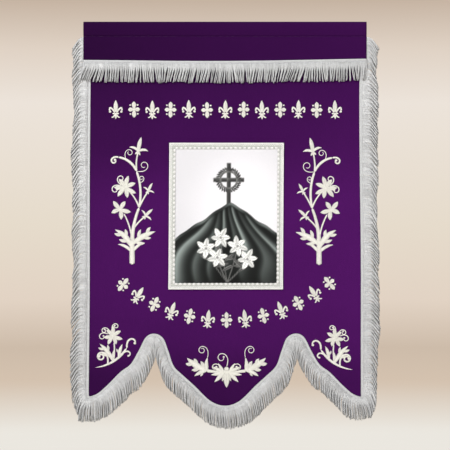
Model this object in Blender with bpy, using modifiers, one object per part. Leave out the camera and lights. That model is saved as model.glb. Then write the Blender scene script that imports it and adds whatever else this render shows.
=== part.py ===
"""Church procession banner, hanging on its pole pocket.

A cloth panel with a scalloped foot hangs from a folded heading band. The band's fold is the pole
pocket. Fringe is sewn over both sides, the foot and the lower edge of the band, and a picture
panel framed by four strips of braid is sewn to the middle.

Metres, +Z up. The banner faces -Y. The origin is the middle of the banner's top edge.
"""
import math
from collections import namedtuple

import bmesh
import bpy
import numpy as np

MM = 0.001

# ---------------------------------------------------------------- sizes, in millimetres
CLOTH_HALF_WIDTH = 363.0      # the panel's side edge, from the middle
CLOTH_FLARE = 3.5             # how much further out the side edge is at the foot
CLOTH_THICKNESS = 1.6         # brocade on its stiffening
CLOTH_TOP = 40.5              # the panel's top edge, held between the band's two legs

BAND_HALF_WIDTH = 368.0       # the heading band covers the ends of the side fringes
BAND_THICKNESS = 1.2
BAND_DROP = 108.0             # lower edge of the front leg
BAND_BACK_DROP = 62.0         # lower edge of the back leg
SEAM_DROP = 38.5              # the stitching that closes the pole pocket
POCKET_DEPTH = 12.6           # front to back, between the middles of the pocket's two walls

HEADING_WIDTH = 13.0          # the woven head of the fringe
STRAND_LENGTH = 47.0          # the cut strands under it
FRINGE_THICKNESS = 2.0
TOP_FRINGE_HALF_WIDTH = 368.0
TOP_FRINGE_DROP = 101.5       # upper edge of the top fringe's heading
SIDE_FRINGE_TOP = 44.0        # first strand of a side fringe
SIDE_FRINGE_END = 971.0       # last strand of a side fringe

FRAME_WIDTH = 298.5           # outside of the braid
FRAME_HEIGHT = 382.0
FRAME_DROP = 505.5            # its middle
FRAME_SHIFT = 3.0             # it is sewn on a little to the right
BRAID_WIDTH = 17.0
BRAID_THICKNESS = 1.2
BRAID_JOINT = 0.6             # between two strips at a corner
PANEL_UNDER_BRAID = 10.0
PANEL_THICKNESS = 1.0

# Middle of each layer, from the panel's front face; less is nearer the viewer
LAYER_CLOTH = 0.8
LAYER_EDGE_FRINGE = -1.4
LAYER_FLAP = -3.5
LAYER_TOP_FRINGE = -5.6
LAYER_PICTURE = -1.0
LAYER_BRAID = -2.6

# The line where the foot's fringe heading starts, from the middle out to a corner
Foot = namedtuple("Foot", "place out drop")
FOOT_LINE = (
    Foot("tip of the tongue", 0.0, 999.0),
    Foot("tongue, lower side", 38.0, 986.5),
    Foot("tongue, upper side", 80.0, 946.0),
    Foot("shoulder", 108.0, 920.5),
    Foot("under the arch", 133.0, 895.0),
    Foot("arch, inner leg", 147.5, 855.0),
    Foot("arch, inner top", 161.0, 822.5),
    Foot("arch, top", 183.0, 811.0),
    Foot("arch, outer top", 205.0, 820.0),
    Foot("arch, outer leg", 224.0, 855.0),
    Foot("outer shoulder", 245.0, 890.0),
    Foot("lobe, upper side", 272.0, 911.0),
    Foot("lobe, lower side", 306.0, 945.0),
    Foot("lobe, foot", 334.0, 968.0),
    Foot("corner", 366.5, 977.5),
)

# The heading band's middle line, from the front leg's lower edge over the pocket to the back
BandTurn = namedtuple("BandTurn", "place depth drop")
BAND_SECTION = (
    BandTurn("front leg, lower edge", LAYER_FLAP, BAND_DROP),
    BandTurn("front leg", LAYER_FLAP, 75.0),
    BandTurn("front leg, under the seam", LAYER_FLAP, 42.8),
    BandTurn("seam, front", -1.6, SEAM_DROP),
    BandTurn("pocket, front foot", -3.9, 34.5),
    BandTurn("pocket, front", -5.1, 26.0),
    BandTurn("pocket, widest front", LAYER_CLOTH - POCKET_DEPTH / 2, 16.0),
    BandTurn("pocket, front shoulder", -4.8, 7.0),
    BandTurn("pocket, front top", -2.6, 2.0),
    BandTurn("top edge", LAYER_CLOTH, BAND_THICKNESS / 2),
    BandTurn("pocket, back top", 4.2, 2.0),
    BandTurn("pocket, back shoulder", 6.4, 7.0),
    BandTurn("pocket, widest back", LAYER_CLOTH + POCKET_DEPTH / 2, 16.0),
    BandTurn("pocket, back", 6.7, 26.0),
    BandTurn("pocket, back foot", 5.5, 34.5),
    BandTurn("seam, back", 3.2, SEAM_DROP),
    BandTurn("back leg, lower edge", 3.2, BAND_BACK_DROP),
)

PURPLE = (0.060, 0.009, 0.094)
SILVER = (0.560, 0.560, 0.550)
WHITE = (0.800, 0.800, 0.770)
GREY = (0.300, 0.300, 0.320)


# ---------------------------------------------------------------- shape functions
def ramp(low, high, value):
    """0 below low, 1 above high, and smooth between."""
    t = min(1.0, max(0.0, (value - low) / (high - low)))
    return t * t * (3.0 - 2.0 * t)


def drape(x, z):
    """How far the hanging cloth stands back from flat, in mm: still at the pole, loose below."""
    loose = ramp(60.0, 1000.0, -z)
    waves = 4.2 * math.sin(2 * math.pi * x / 540.0 + 0.7) + 1.8 * math.sin(2 * math.pi * x / 236.0 - z / 330.0)
    curl = -6.0 * ramp(230.0, 370.0, abs(x)) * ramp(760.0, 1000.0, -z)
    tongue = 3.0 * ramp(840.0, 1020.0, -z) * (1.0 - ramp(40.0, 170.0, abs(x)))
    return loose * waves + curl + tongue


def side_x(side, z, inner=0.0):
    """Side edge of the panel at a height, less the distance inner."""
    flare = CLOTH_FLARE * ramp(150.0, 960.0, -z) + 0.8 * math.sin(z / 105.0 + side)
    return side * (CLOTH_HALF_WIDTH + flare - inner)


def foot_curve():
    """The foot line from the left corner to the right one, as x, z and length along it."""
    half = [(row.out, -row.drop) for row in FOOT_LINE]
    nodes = np.array([(-x, z) for x, z in reversed(half)] + half[1:])
    ends = np.vstack([2 * nodes[0] - nodes[1], nodes, 2 * nodes[-1] - nodes[-2]])
    points = []
    for k in range(1, len(ends) - 2):
        before, start, stop, after = ends[k - 1], ends[k], ends[k + 1], ends[k + 2]
        for t in np.linspace(0.0, 1.0, 24, endpoint=False):
            points.append(0.5 * (2 * start + (stop - before) * t
                                 + (2 * before - 5 * start + 4 * stop - after) * t ** 2
                                 + (3 * start - before - 3 * stop + after) * t ** 3))
    points.append(nodes[-1])
    points = np.array(points)
    length = np.concatenate([[0.0], np.cumsum(np.hypot(*np.diff(points, axis=0).T))])
    return points[:, 0], points[:, 1], length


FOOT_X, FOOT_Z, FOOT_S = foot_curve()


def foot_point(share):
    """A point on the foot line and the direction straight out of the cloth there."""
    s = share * FOOT_S[-1]
    x, z = np.interp(s, FOOT_S, FOOT_X), np.interp(s, FOOT_S, FOOT_Z)
    near, far = max(0.0, s - 4.0), min(FOOT_S[-1], s + 4.0)
    run_x = np.interp(far, FOOT_S, FOOT_X) - np.interp(near, FOOT_S, FOOT_X)
    run_z = np.interp(far, FOOT_S, FOOT_Z) - np.interp(near, FOOT_S, FOOT_Z)
    run = math.hypot(run_x, run_z)
    return x, z, run_z / run, -run_x / run


def strand_path(x, z, lean, length, steps=24):
    """Points down a strand whose lean from straight down, in radians, is a function of 0..1."""
    path = [(x, z)]
    for k in range(steps):
        angle = lean((k + 0.5) / steps)
        x += length / steps * math.sin(angle)
        z -= length / steps * math.cos(angle)
        path.append((x, z))
    return path


# ---------------------------------------------------------------- building tools
def material(name, colour, roughness):
    made = bpy.data.materials.new(name)
    made.use_nodes = True
    shader = made.node_tree.nodes["Principled BSDF"]
    shader.inputs["Base Color"].default_value = (*colour, 1.0)
    shader.inputs["Roughness"].default_value = roughness
    shader.inputs["Metallic"].default_value = 0.0
    return made


def sheet(name, columns, rows, place, thickness, colour, roughness, keep=None):
    """A grid of columns by rows, each corner put in place (mm), given its thickness."""
    mesh = bpy.data.meshes.new(name)
    shape = bmesh.new()
    bmesh.ops.create_grid(shape, x_segments=columns, y_segments=rows, size=1.0)

    def cell(point):
        return (point.x + 1.0) / 2.0 * columns, (point.y + 1.0) / 2.0 * rows

    if keep:
        gone = [f for f in shape.faces if not keep(*map(int, cell(f.calc_center_median())))]
        bmesh.ops.delete(shape, geom=gone, context="FACES")
    for vert in shape.verts:
        column, row = cell(vert.co)
        x, y, z = place(round(column), round(row))
        vert.co = (x * MM, y * MM, z * MM)
    shape.to_mesh(mesh)
    shape.free()
    item = bpy.data.objects.new(name, mesh)
    parts.objects.link(item)
    thick = item.modifiers.new("thickness", "SOLIDIFY")
    thick.thickness = thickness * MM
    thick.offset = 0.0
    thick.use_even_offset = False
    thick.use_rim = True
    item.data.materials.append(material(name, colour, roughness))
    return item


def fringe(name, strands, path_of, layer, tooth=0.8):
    """One comb: a heading with a broad tooth for each bundle of strands.

    path_of(share) gives the heading's inner point and the strand path from its outer edge.
    """
    rows = len(path_of(0.0))

    def place(column, row):
        share = (column // 2 + tooth * (column % 2)) / (strands - 1 + tooth)
        x, z = path_of(share)[row]
        return x, drape(x, z) + layer, z

    def keep(column, row):
        return row == 0 or column % 2 == 0

    return sheet(name, 2 * strands - 1, rows - 1, place, FRINGE_THICKNESS, SILVER, 0.45, keep)


# ---------------------------------------------------------------- the pieces
def field_panel(columns=52, rows=11):
    """The banner's cloth: flat top edge, flared sides, tongue and two lobes at the foot."""
    def place(column, row):
        share, fall = column / columns, row / rows
        x, z, out_x, out_z = foot_point(share)
        foot_x, foot_z = x + HEADING_WIDTH * out_x * 0.9, z + HEADING_WIDTH * out_z * 0.9
        foot_x = max(side_x(-1, foot_z), min(side_x(1, foot_z), foot_x))
        top_x = (2 * share - 1) * CLOTH_HALF_WIDTH
        z = -CLOTH_TOP + fall * (foot_z + CLOTH_TOP)
        x = top_x + (foot_x - top_x) * fall
        if column in (0, columns):
            x = side_x(-1 if column == 0 else 1, z)
        return x, drape(x, z) + LAYER_CLOTH, z

    return sheet("field_panel", columns, rows, place, CLOTH_THICKNESS, PURPLE, 0.85)


def heading_band(columns=13):
    """The folded band whose fold, above the seam, is the pole pocket."""
    def place(column, row):
        turn = BAND_SECTION[row]
        x = (2.0 * column / columns - 1.0) * BAND_HALF_WIDTH
        sag = ramp(60.0, 100.0, turn.drop) * (2.4 * math.cos(x / 150.0) - 1.0 - x / 230.0)
        z = -turn.drop - sag
        return x, drape(x, z) + turn.depth, z

    return sheet("heading_band", columns, len(BAND_SECTION) - 1, place, BAND_THICKNESS, PURPLE, 0.85)


def top_fringe():
    """The fringe over the front leg's lower edge; its strands hang straight."""
    def path_of(share):
        x = (2 * share - 1) * TOP_FRINGE_HALF_WIDTH
        sag = 2.4 * math.cos(x / 150.0) - 1.0 - x / 230.0
        start = -TOP_FRINGE_DROP - sag
        length = STRAND_LENGTH - 1.0 + 1.5 * math.sin(x / 31.0) + 1.0 * math.sin(x / 12.5)
        spread = 0.04 * math.sin(x / 47.0)
        path = strand_path(x, start - HEADING_WIDTH, lambda v: spread * v, length)
        return [(x, start), path[0], path[12], path[24]]

    return fringe("top_fringe", 33, path_of, LAYER_TOP_FRINGE)


def side_fringe(name, side):
    """Strands leave the upright edge sideways and droop down and out."""
    def path_of(share):
        z = -SIDE_FRINGE_TOP - share * (SIDE_FRINGE_END - SIDE_FRINGE_TOP)
        near = side_x(side, z, HEADING_WIDTH)
        edge = side_x(side, z)
        hang = math.radians(66.0 + 2.5 * math.sin(z / 70.0 + 2 * side) + 8.0 * ramp(840.0, 975.0, -z))
        length = STRAND_LENGTH + 1.5 + 1.0 * math.sin(z / 23.0 + side)

        def lean(v):
            return side * (math.pi / 2 - hang * ramp(0.1, 0.5, v))

        path = strand_path(edge, z, lean, length)
        return [(near, z), path[0], path[7], path[13], path[24]]

    return fringe(name, 31, path_of, LAYER_EDGE_FRINGE)


def bottom_fringe():
    """Strands leave the foot at right angles to it and soon hang straight down."""
    def path_of(share):
        x, z, out_x, out_z = foot_point(0.004 + 0.992 * share)
        edge_x, edge_z = x + HEADING_WIDTH * out_x, z + HEADING_WIDTH * out_z
        leave = math.atan2(out_x, -out_z)
        corner = (1.0 - ramp(0.0, 30.0, 366.0 - abs(x))) * math.copysign(0.42, x)
        length = STRAND_LENGTH + 1.5 * math.sin(x / 27.0) - 3.0 * abs(math.sin(leave)) ** 3

        def lean(v):
            return leave * (1.0 - v) ** 3 + corner * (1.0 - 0.5 * v)

        path = strand_path(edge_x, edge_z, lean, length)
        return [(x, z), path[0], path[8], path[24]]

    return fringe("bottom_fringe", 48, path_of, LAYER_EDGE_FRINGE)


def frame_place(across, up):
    """A point of the picture's frame, from its middle; it leans a little out of square."""
    return FRAME_SHIFT + across + 0.0065 * up, -FRAME_DROP + up


def flat_piece(name, left, right, low, high, columns, rows, layer, thickness, colour, roughness):
    def place(column, row):
        x, z = frame_place(left + (right - left) * column / columns, low + (high - low) * row / rows)
        return x, drape(x, z) + layer, z

    return sheet(name, columns, rows, place, thickness, colour, roughness)


def picture():
    """The picture panel, and the four strips of braid sewn over its raw edges."""
    half_w, half_h = FRAME_WIDTH / 2, FRAME_HEIGHT / 2
    in_w, in_h = half_w - BRAID_WIDTH, half_h - BRAID_WIDTH
    under_w, under_h = in_w + PANEL_UNDER_BRAID, in_h + PANEL_UNDER_BRAID
    flat_piece("picture_panel", -under_w, under_w, -under_h, under_h, 8, 10,
               LAYER_PICTURE, PANEL_THICKNESS, GREY, 0.6)
    strips = (
        ("braid_top", -half_w, half_w, in_h, half_h, 9, 1),
        ("braid_bottom", -half_w, half_w, -half_h, -in_h, 9, 1),
        ("braid_left", -half_w, -in_w, -in_h + BRAID_JOINT, in_h - BRAID_JOINT, 1, 10),
        ("braid_right", in_w, half_w, -in_h + BRAID_JOINT, in_h - BRAID_JOINT, 1, 10),
    )
    for name, left, right, low, high, columns, rows in strips:
        flat_piece(name, left, right, low, high, columns, rows, LAYER_BRAID, BRAID_THICKNESS, WHITE, 0.6)


# ---------------------------------------------------------------- the banner
for old in list(bpy.data.objects):
    bpy.data.objects.remove(old, do_unlink=True)

parts = bpy.data.collections.new("church_banner")
bpy.context.scene.collection.children.link(parts)

field_panel()
heading_band()
top_fringe()
side_fringe("left_fringe", -1)
side_fringe("right_fringe", 1)
bottom_fringe()
picture()
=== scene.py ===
"""The looks of the church banner: cloth, fringes, braid, picture and embroidery.

The lengths here are in millimetres unless a name says otherwise. The banner hangs from its pole
pocket, faces -Y, and has its origin at the middle of its top edge.
"""
import math

import bpy
import numpy as np
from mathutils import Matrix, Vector


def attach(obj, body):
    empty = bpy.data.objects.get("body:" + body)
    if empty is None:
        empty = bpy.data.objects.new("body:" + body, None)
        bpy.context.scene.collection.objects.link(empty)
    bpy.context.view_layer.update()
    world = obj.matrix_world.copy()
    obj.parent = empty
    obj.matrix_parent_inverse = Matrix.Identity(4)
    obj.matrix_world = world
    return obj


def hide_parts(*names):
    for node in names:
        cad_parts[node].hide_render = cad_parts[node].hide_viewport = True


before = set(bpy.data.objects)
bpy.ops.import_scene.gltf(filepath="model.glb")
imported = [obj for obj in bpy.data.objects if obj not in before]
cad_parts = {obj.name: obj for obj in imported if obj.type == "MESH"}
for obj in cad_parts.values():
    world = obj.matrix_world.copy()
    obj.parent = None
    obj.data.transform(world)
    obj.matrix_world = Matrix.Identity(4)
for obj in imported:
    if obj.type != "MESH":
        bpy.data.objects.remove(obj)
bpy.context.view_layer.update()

MM = 0.001
SEED = 41

# ------------------------------------------------------------------ sizes, as in the CAD
CLOTH_HALF_WIDTH = 363.0
CLOTH_FLARE = 3.5
CLOTH_TOP = 40.5
BAND_HALF_WIDTH = 368.0
BAND_THICKNESS = 1.2
BAND_DROP = 108.0
SEAM_DROP = 38.5
HEADING_WIDTH = 13.0
STRAND_LENGTH = 47.0
TOP_FRINGE_DROP = 101.5
CORNER_X, CORNER_DROP = 351.5, 974.0
FRAME_WIDTH, FRAME_HEIGHT = 298.5, 382.0
FRAME_DROP, FRAME_SHIFT = 505.5, 3.0
BRAID_WIDTH = 17.0
PANEL_UNDER_BRAID = 10.0
PANEL_WIDTH = FRAME_WIDTH - 2 * (BRAID_WIDTH - PANEL_UNDER_BRAID)
PANEL_HEIGHT = FRAME_HEIGHT - 2 * (BRAID_WIDTH - PANEL_UNDER_BRAID)
FIELD_THICKNESS, PANEL_THICKNESS = 1.6, 1.0

LAYER_CLOTH = 0.8
LAYER_EDGE_FRINGE = -1.4
LAYER_FLAP = -3.5
LAYER_TOP_FRINGE = -5.6
LAYER_PICTURE = -1.0
LAYER_BRAID = -2.6
LAYER_SEAM_FRONT, LAYER_SEAM_BACK = -2.6, 4.1
LAYER_FIELD_BACK = 1.85

FOOT_LINE = (  # out from the middle, drop
    (0.0, 999.0), (38.0, 986.5), (80.0, 946.0), (108.0, 920.5), (133.0, 895.0),
    (147.5, 855.0), (161.0, 822.5), (183.0, 811.0), (205.0, 820.0), (224.0, 855.0),
    (245.0, 890.0), (272.0, 911.0), (306.0, 945.0), (334.0, 968.0), (366.5, 977.5),
)
BAND_SECTION = (  # depth, drop
    (LAYER_FLAP, BAND_DROP), (LAYER_FLAP, 75.0), (LAYER_FLAP, 43.5), (-1.7, SEAM_DROP),
    (-3.9, 34.5), (-5.1, 26.0), (-5.5, 16.0), (-4.8, 7.0), (-2.6, 2.0), (0.8, 0.6),
    (4.2, 2.0), (6.4, 7.0), (7.1, 16.0), (6.7, 26.0), (5.5, 34.5), (3.2, SEAM_DROP), (3.2, 62.0),
)


# ------------------------------------------------------------------ shape functions
def ramp(low, high, value):
    t = np.clip((np.asarray(value, float) - low) / (high - low), 0.0, 1.0)
    return t * t * (3.0 - 2.0 * t)


def drape(x, z):
    """How far the hanging cloth stands back from flat: slow waves, with its lower corners and its tongue
    bent a little out of line.
    """
    x, z = np.asarray(x, float), np.asarray(z, float)
    loose = ramp(60.0, 1000.0, -z)
    waves = 4.2 * np.sin(2 * math.pi * x / 540.0 + 0.7) + 1.8 * np.sin(2 * math.pi * x / 236.0 - z / 330.0)
    curl = -6.0 * ramp(230.0, 370.0, abs(x)) * ramp(760.0, 1000.0, -z)
    tongue = 3.0 * ramp(840.0, 1020.0, -z) * (1.0 - ramp(40.0, 170.0, abs(x)))
    return loose * waves + curl + tongue


def flap_sag(x):
    """How far the flap's lower edge hangs below its straight line."""
    return 2.4 * np.cos(x / 150.0) - 1.0 - x / 230.0


def side_x(side, z, inner=0.0):
    flare = CLOTH_FLARE * ramp(150.0, 960.0, -z) + 0.8 * np.sin(z / 105.0 + side)
    return side * (CLOTH_HALF_WIDTH + flare - inner)


def smooth_line(points, steps):
    """A Catmull-Rom line through points, with so many steps between each two."""
    nodes = np.asarray(points, float)
    ends = np.vstack([2 * nodes[0] - nodes[1], nodes, 2 * nodes[-1] - nodes[-2]])
    t = np.linspace(0.0, 1.0, steps, endpoint=False)[:, None]
    line = []
    for a, b, c, d in zip(ends[:-3], ends[1:-2], ends[2:-1], ends[3:]):
        line.append(0.5 * (2 * b + (c - a) * t + (2 * a - 5 * b + 4 * c - d) * t ** 2
                           + (3 * b - a - 3 * c + d) * t ** 3))
    return np.vstack(line + [nodes[-1:]])


def run_length(line):
    return np.concatenate([[0.0], np.cumsum(np.linalg.norm(np.diff(line, axis=0), axis=1))])


def points_at(value, s, line):
    """Points at run lengths value on a line of x, z points."""
    return np.stack([np.interp(value, s, line[:, 0]), np.interp(value, s, line[:, 1])], -1)


half_foot = [(out, -drop) for out, drop in FOOT_LINE]
FOOT = smooth_line([(-x, z) for x, z in reversed(half_foot)] + half_foot[1:], 24)
FOOT_S = run_length(FOOT)


def foot_point(s):
    """A point on the foot line, s along it, and the direction straight out of the cloth."""
    here = points_at(s, FOOT_S, FOOT)
    ahead = points_at(np.minimum(s + 4.0, FOOT_S[-1]), FOOT_S, FOOT)
    run = ahead - points_at(np.maximum(s - 4.0, 0.0), FOOT_S, FOOT)
    run /= np.linalg.norm(run, axis=-1, keepdims=True)
    return here, np.stack([run[..., 1], -run[..., 0]], -1)


# ------------------------------------------------------------------ materials
def add(tree, kind, inputs=None, **settings):
    """A node; an input is a value, or a socket to link."""
    node = tree.nodes.new(kind)
    for key, value in settings.items():
        setattr(node, key, value)
    for key, value in (inputs or {}).items():
        if isinstance(value, bpy.types.NodeSocket):
            tree.links.new(value, node.inputs[key])
        else:
            node.inputs[key].default_value = value
    return node


def math_node(tree, operation, a, b=0.0):
    return add(tree, "ShaderNodeMath", {0: a, 1: b}, operation=operation).outputs[0]


def affine(tree, value, factor, plus):
    """value * factor + plus; each is a number or a socket."""
    return math_node(tree, "ADD", math_node(tree, "MULTIPLY", value, factor), plus)


def wave(tree, value, pitch):
    return math_node(tree, "SINE", math_node(tree, "MULTIPLY", value, 2 * math.pi / pitch))


def noise(tree, where, scale, detail):
    return add(tree, "ShaderNodeTexNoise", {"Vector": where, "Scale": scale, "Detail": detail}).outputs[0]


def tint_of(tree):
    return add(tree, "ShaderNodeAttribute", attribute_name="tint").outputs["Color"]


def multiplied(tree, colour, other):
    return add(tree, "ShaderNodeMix", {0: 1.0, 6: colour, 7: other}, data_type="RGBA",
               blend_type="MULTIPLY").outputs[2]


def scaled(tree, colour, factor):
    """A colour times a grey factor."""
    grey = add(tree, "ShaderNodeCombineColor", {0: factor, 1: factor, 2: factor}).outputs[0]
    return multiplied(tree, colour, grey)


def ramp_node(tree, factor, stops):
    """A colour ramp with stops of (place, colour)."""
    node = add(tree, "ShaderNodeValToRGB", {0: factor})
    points = node.color_ramp.elements
    while len(points) < len(stops):
        points.new(0.5)
    for point, (place, colour) in zip(points, stops):
        point.position, point.color = place, (*colour, 1.0)
    return node


def fade(tree, factor, stops):
    """A grey that changes smoothly through stops of (place, value), for values up to 2."""
    node = ramp_node(tree, factor, [(place, (value / 2,) * 3) for place, value in stops])
    node.color_ramp.interpolation = "EASE"
    return math_node(tree, "MULTIPLY", node.outputs[0], 2.0)


def start_material(name, roughness, specular=0.5, sheen=0.0, sheen_tint=(1, 1, 1), sheen_rough=0.4):
    """A material, its node tree, its shader and its object coordinates."""
    made = bpy.data.materials.new(name)
    made.use_nodes = True
    tree = made.node_tree
    shader = tree.nodes["Principled BSDF"]
    shader.inputs["Roughness"].default_value = roughness
    shader.inputs["Specular IOR Level"].default_value = specular
    shader.inputs["Sheen Weight"].default_value = sheen
    shader.inputs["Sheen Tint"].default_value = (*sheen_tint, 1.0)
    shader.inputs["Sheen Roughness"].default_value = sheen_rough
    return made, tree, shader, add(tree, "ShaderNodeTexCoord").outputs["Object"]


def bump(tree, shader, height, distance, strength):
    node = add(tree, "ShaderNodeBump", {"Height": height, "Distance": distance, "Strength": strength})
    tree.links.new(node.outputs["Normal"], shader.inputs["Normal"])


def cloth_material(name, colour):
    """Matt plain-woven cloth: threads both ways, slubs, painted shade in the weave's hollows, and painted
    light and shade that shift slowly over it.
    """
    made, tree, shader, where = start_material(name, 0.8, 0.03, 0.03, (0.7, 0.2, 0.9), 0.5)
    axes = add(tree, "ShaderNodeSeparateXYZ", {0: where}).outputs
    weave = math_node(tree, "MULTIPLY", wave(tree, axes[0], WEAVE_PITCH), wave(tree, axes[2], WEAVE_PITCH))
    slub = noise(tree, where, 420.0, 3.0)
    # Painted light and shade: the cloth is painted lighter in the middle of its drop and towards the right,
    # darker at its top and foot.
    painted_light = add(tree, "ShaderNodeMapRange", {0: axes[2], 1: -1.02, 2: 0.0}).outputs[0]
    painted_light = affine(tree, axes[0], PAINTED_LIGHT_ACROSS, fade(tree, painted_light, PAINTED_LIGHT_UP))
    shade = affine(tree, slub, 0.28, 0.70)
    shade = affine(tree, noise(tree, where, 2.6, 2.0), 0.34, shade)
    # The weave also makes the colour slightly darker where the threads dip and lighter on their crowns:
    # painted shade.
    shade = affine(tree, weave, 0.05, shade)
    shade = math_node(tree, "MULTIPLY", shade, painted_light)
    tree.links.new(scaled(tree, (*colour, 1.0), shade), shader.inputs["Base Color"])
    height = affine(tree, slub, 1.3, math_node(tree, "MULTIPLY", weave, 0.5))
    bump(tree, shader, height, 0.00022, 0.7)
    return made


def thread_material(name, colour, pitch, roughness=0.38, across=0.16, tinted=False, sheen=0.25):
    """Laid threads: fine ridges along the map's first axis, pitch mm apart, painted slightly darker in the
    grooves between them as painted shade.
    """
    made, tree, shader, where = start_material(name, roughness, 0.5, sheen, (1, 1, 1), 0.35)
    flat = add(tree, "ShaderNodeUVMap").outputs[0]
    axes = add(tree, "ShaderNodeSeparateXYZ", {0: flat}).outputs
    ridge = wave(tree, affine(tree, axes[1], across, axes[0]), pitch)
    # Painted shade: the colour follows the ridges, darker in the grooves between threads.
    shade = affine(tree, ridge, 0.06, 0.81)
    shade = affine(tree, noise(tree, where, 210.0, 3.0), 0.3, shade)
    colour = scaled(tree, (*colour, 1.0), shade)
    if tinted:
        colour = multiplied(tree, colour, tint_of(tree))
    tree.links.new(colour, shader.inputs["Base Color"])
    bump(tree, shader, ridge, 0.00025, 0.8)
    return made


def print_material(name):
    """A printed satin panel: its painted shades over a fine weave."""
    made, tree, shader, where = start_material(name, 0.55, 0.12)
    grain = noise(tree, where, 700.0, 2.0)
    shade = affine(tree, grain, 0.12, 0.94)
    tree.links.new(scaled(tree, tint_of(tree), shade), shader.inputs["Base Color"])
    bump(tree, shader, grain, 0.0002, 0.5)
    return made


def floor_material():
    made, tree, shader, where = start_material("pale_floor", 0.8, 0.3)
    shade = affine(tree, noise(tree, where, 1.5, 4.0), 0.06, 0.95)
    tree.links.new(scaled(tree, (0.80, 0.77, 0.72, 1.0), shade), shader.inputs["Base Color"])
    return made


WEAVE_PITCH = 0.0013  # metres between two threads
# The two tables below are painted light and shade on the purple cloth, standing in for a soft pool of light
# on its middle and right.
PAINTED_LIGHT_ACROSS = 0.62  # how much lighter the cloth gets for each metre to the right
PAINTED_LIGHT_UP = (  # the cloth's lightness from foot to top: place, value
    (0.0, 0.85), (0.07, 0.97), (0.20, 1.43), (0.30, 1.56), (0.52, 1.56), (0.71, 1.05),
    (0.78, 0.96), (0.92, 0.70), (1.0, 0.72),
)
PURPLE = cloth_material("purple_cloth", (0.0370, 0.0034, 0.0590))
STRANDS = thread_material("silver_strands", (0.91, 0.93, 0.955), 1.1, 0.42, 1.4, tinted=True, sheen=0.5)
HEADING = thread_material("silver_heading", (0.78, 0.80, 0.83), 1.5, 0.45, 0.0, tinted=True)
IVORY = thread_material("ivory_thread", (1.0, 1.0, 0.925), 0.8, 0.40, 0.35, tinted=True)
BRAID_WHITE = thread_material("braid_white", (0.98, 0.98, 0.98), 1.2, 0.45, 0.6)
BRAID_GREEN = thread_material("braid_ground", (0.82, 0.85, 0.81), 1.6, 0.55, 0.2, tinted=True)
SEWING = thread_material("sewing_thread", (0.050, 0.008, 0.075), 0.5, 0.5)
GREY_SEWING = thread_material("grey_sewing_thread", (0.60, 0.60, 0.60), 0.5, 0.5)
PRINT = print_material("printed_satin")


# ------------------------------------------------------------------ meshes
def new_piece(name, points, quads, material, triangles=(), uv=None, tint=None):
    """A mesh piece from points in mm."""
    points = np.asarray(points, float)
    quads = np.asarray(quads, np.int32).reshape(-1, 4)
    triangles = np.asarray(triangles, np.int32).reshape(-1, 3)
    corners = np.concatenate([quads.ravel(), triangles.ravel()])
    starts = np.concatenate([np.arange(len(quads)) * 4, len(quads) * 4 + np.arange(len(triangles)) * 3])
    mesh = bpy.data.meshes.new(name)
    mesh.vertices.add(len(points))
    mesh.vertices.foreach_set("co", (points * MM).astype(np.float32).ravel())
    mesh.loops.add(len(corners))
    mesh.loops.foreach_set("vertex_index", corners.astype(np.int32))
    mesh.polygons.add(len(starts))
    mesh.polygons.foreach_set("loop_start", starts.astype(np.int32))
    mesh.polygons.foreach_set("use_smooth", np.ones(len(starts), bool))
    if uv is not None:
        layer = mesh.uv_layers.new(name="UVMap")
        layer.data.foreach_set("uv", np.asarray(uv, np.float32)[corners].ravel())
    if tint is not None:
        shades = mesh.color_attributes.new("tint", "FLOAT_COLOR", "POINT")
        tint = np.asarray(tint, np.float32)
        if tint.ndim == 1:
            tint = np.repeat(tint[:, None], 3, axis=1)
        shades.data.foreach_set("color", np.hstack([tint, np.ones((len(tint), 1), np.float32)]).ravel())
    mesh.update(calc_edges=True)
    mesh.validate()
    mesh.materials.append(material)
    item = bpy.data.objects.new(name, mesh)
    bpy.context.scene.collection.objects.link(item)
    return item


def grid_faces(rows, columns, wrap=False):
    """Quads of a grid of points, columns points wide; wrap joins the last column to the first."""
    r = np.arange(rows - 1)[:, None]
    c = np.arange(columns if wrap else columns - 1)[None, :]
    d = (c + 1) % columns
    return np.stack([r * columns + c + 0 * d, r * columns + d, (r + 1) * columns + d, (r + 1) * columns + c],
                    -1).reshape(-1, 4)


def cloth_piece(name, x, y, z, thickness, material, tint=None):
    """A sheet through a grid of points, thickened evenly both ways."""
    rows, columns = x.shape
    points = np.stack([x, y, z], -1).reshape(-1, 3)
    item = new_piece(name, points, grid_faces(rows, columns), material, tint=tint)
    thick = item.modifiers.new("thickness", "SOLIDIFY")
    thick.thickness = thickness * MM
    thick.offset = 0.0
    return item


def frames(line):
    """Two directions square to a line of points, or to each of many lines."""
    along = np.gradient(line, axis=-2)
    along /= np.linalg.norm(along, axis=-1, keepdims=True) + 1e-9
    first = np.cross(along, (0.0, 1.0, 0.0))
    first /= np.linalg.norm(first, axis=-1, keepdims=True) + 1e-9
    return first, np.cross(first, along)


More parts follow.
